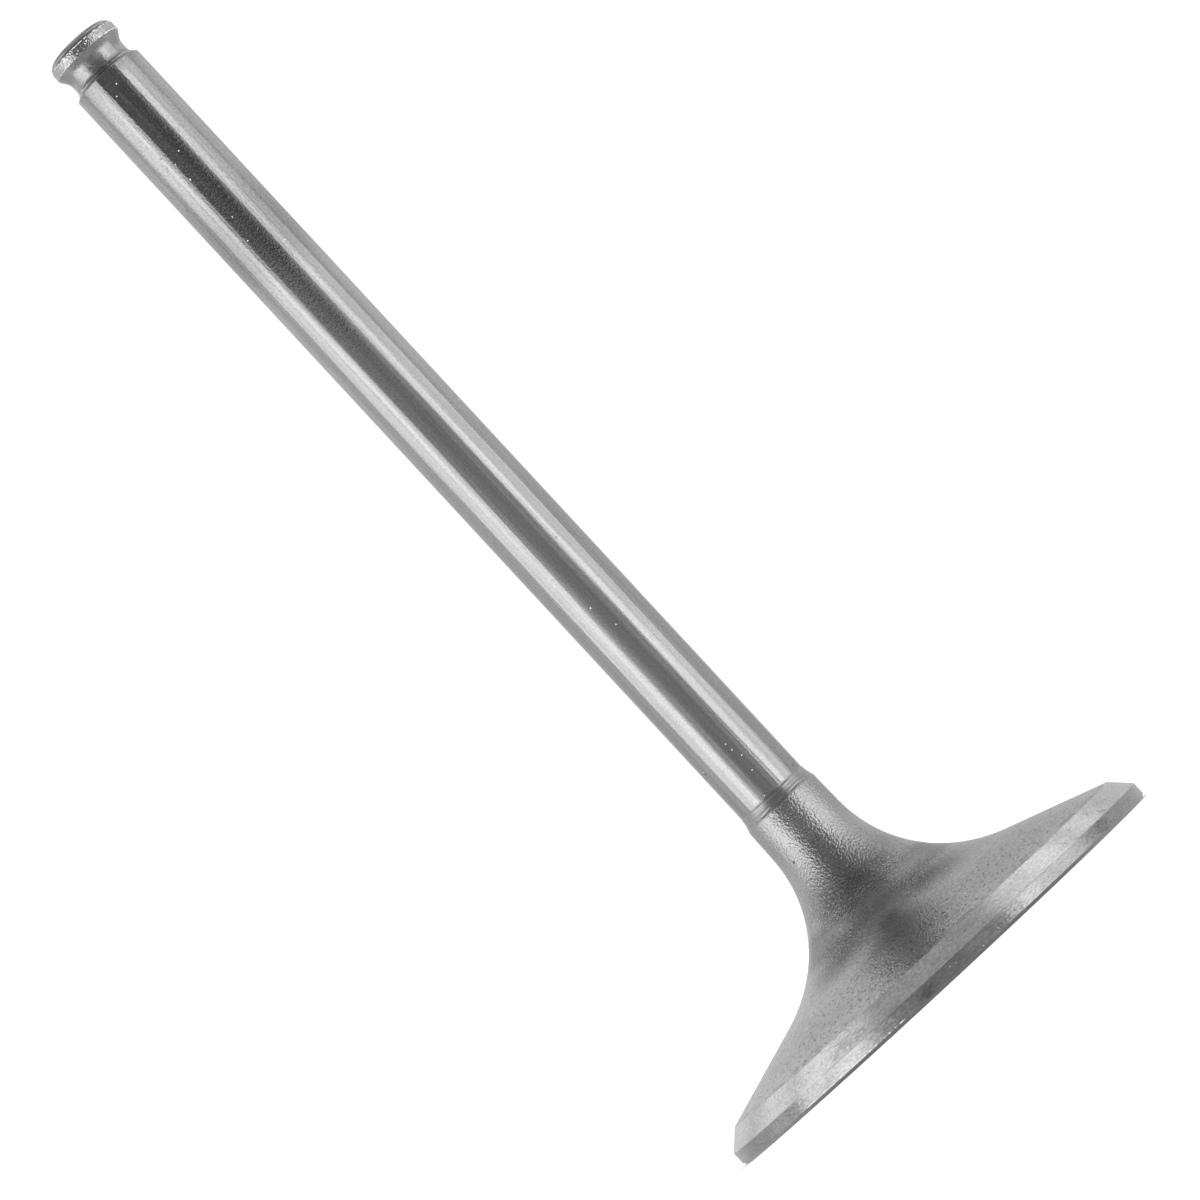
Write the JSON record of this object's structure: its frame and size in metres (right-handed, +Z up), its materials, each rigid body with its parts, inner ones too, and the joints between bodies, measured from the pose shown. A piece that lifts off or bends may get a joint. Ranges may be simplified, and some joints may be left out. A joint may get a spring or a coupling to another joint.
{
  "type": "poppet engine valve",
  "caption": "Poppet engine valve: ground stem with a keeper groove at its tip, and a tulip head with a 45 degree seat that opens and closes a port.",
  "frame": {"origin": "centre of the flat combustion face of the head, which the valve stands on", "axes": "+Z runs up the stem's axis from the head to the tip; X and Y are equivalent"},
  "size_m": [0.0538, 0.0538, 0.1274],
  "materials": {
    "valve_steel": "ground satin steel on stem, seat and margin; blasted grey steel on neck and tulip"
  },
  "bodies": {
    "root": {"engine_valve": "valve_steel"}
  },
  "joints": []
}
